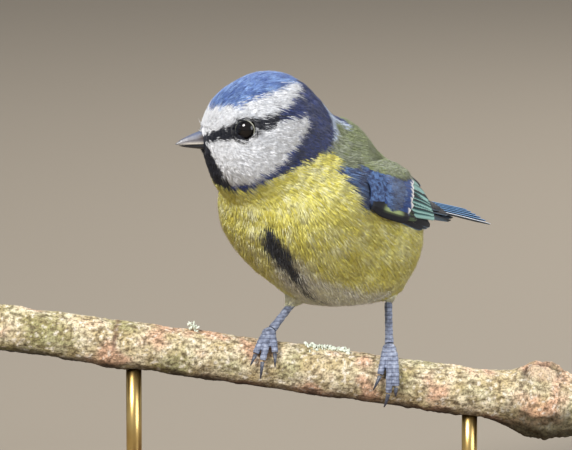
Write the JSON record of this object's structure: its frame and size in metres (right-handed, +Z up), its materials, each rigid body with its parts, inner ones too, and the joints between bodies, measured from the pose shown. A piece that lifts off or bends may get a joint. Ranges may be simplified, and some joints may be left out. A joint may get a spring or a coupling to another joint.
{
  "type": "blue tit model on a branch with a display stand",
  "caption": "Life-size still model of a blue tit gripping a short cut branch, which brass rods hold over a flat base",
  "frame": {"origin": "the middle of the underside of the stand's base", "axes": "+X along the branch towards its knotted, lower end; -Y towards the side that the toes' tips hang over; +Z up"},
  "size_m": [0.1434, 0.1074, 0.1168],
  "materials": {
    "crown_feathers": "soft feathers, blue cap over white face with a dark eye line",
    "collar_feathers": "soft dark blue feathers",
    "breast_feathers": "soft yellow feathers, olive green on the back, white and dark along the belly",
    "wing_feathers": "firm blue feathers with a pale bar and green-blue edges",
    "tail_feathers": "firm blue feathers with grey edges",
    "bill": "smooth grey horn",
    "bill_dark": "smooth black horn",
    "eye": "wet, clear and dark",
    "leg_skin": "scaled blue-grey skin",
    "claw": "dark smooth horn",
    "bark": "mottled thin bark with algae and lichen",
    "stand_wood": "dark satin wood",
    "stand_brass": "satin brass"
  },
  "bodies": {
    "root": {"head": "crown_feathers", "neck": "collar_feathers", "torso": "breast_feathers", "wing_left": "wing_feathers", "wing_right": "wing_feathers", "tail": "tail_feathers", "bill_upper": "bill", "bill_lower": "bill_dark", "eye_left": "eye", "eye_right": "eye", "leg_left": "leg_skin", "leg_right": "leg_skin", "foot_left": "leg_skin", "foot_right": "leg_skin", "claw_left_1": "claw", "claw_left_2": "claw", "claw_left_3": "claw", "claw_left_4": "claw", "claw_right_1": "claw", "claw_right_2": "claw", "claw_right_3": "claw", "claw_right_4": "claw", "perch": "bark", "stand_base": "stand_wood", "stand_rod_left": "stand_brass", "stand_rod_right": "stand_brass"}
  },
  "joints": []
}
